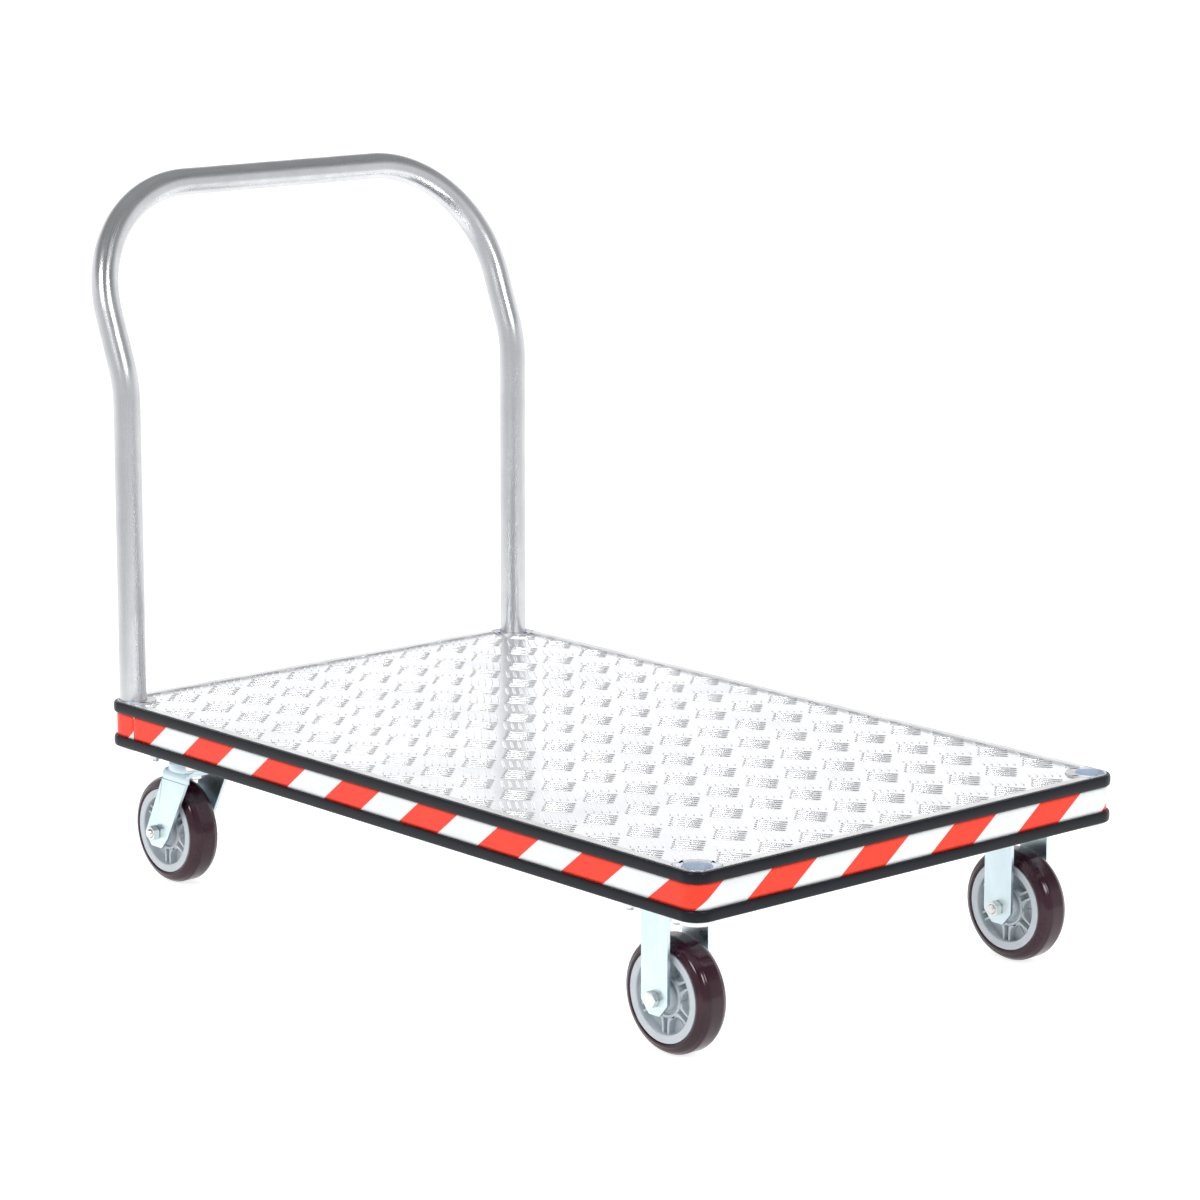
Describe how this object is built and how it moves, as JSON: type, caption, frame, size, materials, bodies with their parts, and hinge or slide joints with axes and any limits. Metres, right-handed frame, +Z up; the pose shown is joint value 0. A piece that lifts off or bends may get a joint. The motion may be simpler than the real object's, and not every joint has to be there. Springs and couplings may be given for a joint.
{
  "type": "platform truck",
  "caption": "Flatbed platform truck: aluminium tread-plate deck with bumper strips and striped tape, bent tube handle in corner sockets, rigid front casters and swivel rear casters.",
  "frame": {"origin": "centre of the truck's outline in plan, on the floor", "axes": "+X from the handle end to the front of the deck, +Y to the left of someone pushing, +Z up"},
  "size_m": [1.3296, 0.762, 0.9972],
  "materials": {
    "tread_aluminium": "bright five-bar tread plate",
    "rail_aluminium": "mill-finish extrusion",
    "cast_aluminium": "machined casting",
    "tube_aluminium": "satin, brushed along its length",
    "black_rubber": "satin black",
    "reflective_tape": "retro-reflective, red and white diagonal stripes",
    "zinc_steel": "bright blue zinc plate",
    "bolt_steel": "zinc plate",
    "bearing_steel": "plain ground steel",
    "grey_nylon": "moulded, satin",
    "maroon_polyurethane": "glossy"
  },
  "bodies": {
    "deck": {"bumper_lower": "black_rubber", "bumper_upper": "black_rubber", "corner_casting_front_left": "cast_aluminium", "corner_casting_front_right": "cast_aluminium", "corner_casting_rear_left": "cast_aluminium", "corner_casting_rear_right": "cast_aluminium", "crossmember_front": "rail_aluminium", "crossmember_rear": "rail_aluminium", "end_rail_front": "rail_aluminium", "end_rail_rear": "rail_aluminium", "front_left_axle_bolt": "bolt_steel", "front_left_axle_nut": "bolt_steel", "front_left_mount_bolt_1": "bolt_steel", "front_left_mount_bolt_2": "bolt_steel", "front_left_mount_bolt_3": "bolt_steel", "front_left_mount_bolt_4": "bolt_steel", "front_left_rigid_fork": "zinc_steel", "front_right_axle_bolt": "bolt_steel", "front_right_axle_nut": "bolt_steel", "front_right_mount_bolt_1": "bolt_steel", "front_right_mount_bolt_2": "bolt_steel", "front_right_mount_bolt_3": "bolt_steel", "front_right_mount_bolt_4": "bolt_steel", "front_right_rigid_fork": "zinc_steel", "rear_left_kingpin": "bolt_steel", "rear_left_mount_bolt_1": "bolt_steel", "rear_left_mount_bolt_2": "bolt_steel", "rear_left_mount_bolt_3": "bolt_steel", "rear_left_mount_bolt_4": "bolt_steel", "rear_left_top_plate": "zinc_steel", "rear_right_kingpin": "bolt_steel", "rear_right_mount_bolt_1": "bolt_steel", "rear_right_mount_bolt_2": "bolt_steel", "rear_right_mount_bolt_3": "bolt_steel", "rear_right_mount_bolt_4": "bolt_steel", "rear_right_top_plate": "zinc_steel", "reflective_tape": "reflective_tape", "side_rail_left": "rail_aluminium", "side_rail_right": "rail_aluminium", "tread_plate": "tread_aluminium"},
    "handle": {"handle": "tube_aluminium"},
    "wheel_front_left": {"front_left_hub": "grey_nylon", "front_left_roller_sleeve": "bearing_steel", "front_left_tyre": "maroon_polyurethane"},
    "wheel_front_right": {"front_right_hub": "grey_nylon", "front_right_roller_sleeve": "bearing_steel", "front_right_tyre": "maroon_polyurethane"},
    "swivel_rear_left": {"rear_left_axle_bolt": "bolt_steel", "rear_left_axle_nut": "bolt_steel", "rear_left_swivel_fork": "zinc_steel"},
    "wheel_rear_left": {"rear_left_hub": "grey_nylon", "rear_left_roller_sleeve": "bearing_steel", "rear_left_tyre": "maroon_polyurethane"},
    "swivel_rear_right": {"rear_right_axle_bolt": "bolt_steel", "rear_right_axle_nut": "bolt_steel", "rear_right_swivel_fork": "zinc_steel"},
    "wheel_rear_right": {"rear_right_hub": "grey_nylon", "rear_right_roller_sleeve": "bearing_steel", "rear_right_tyre": "maroon_polyurethane"}
  },
  "joints": [
    {"name": "handle_lift", "type": "slide", "parent": "deck", "child": "handle", "axis": [0, 0, 1], "range_m": [0, 0.07]},
    {"name": "swivel_rear_left", "type": "hinge", "parent": "deck", "child": "swivel_rear_left", "pos_m": [-0.45412, 0.3085, 0.175], "axis": [0, 0, 1], "continuous": true},
    {"name": "roll_rear_left", "type": "hinge", "parent": "swivel_rear_left", "child": "wheel_rear_left", "pos_m": [-0.50112, 0.3085, 0.0762], "axis": [0, 1, 0], "continuous": true},
    {"name": "swivel_rear_right", "type": "hinge", "parent": "deck", "child": "swivel_rear_right", "pos_m": [-0.45412, -0.3085, 0.175], "axis": [0, 0, 1], "continuous": true},
    {"name": "roll_rear_right", "type": "hinge", "parent": "swivel_rear_right", "child": "wheel_rear_right", "pos_m": [-0.50112, -0.3085, 0.0762], "axis": [0, 1, 0], "continuous": true},
    {"name": "roll_front_left", "type": "hinge", "parent": "deck", "child": "wheel_front_left", "pos_m": [0.55188, 0.3085, 0.0762], "axis": [0, 1, 0], "continuous": true},
    {"name": "roll_front_right", "type": "hinge", "parent": "deck", "child": "wheel_front_right", "pos_m": [0.55188, -0.3085, 0.0762], "axis": [0, 1, 0], "continuous": true}
  ]
}
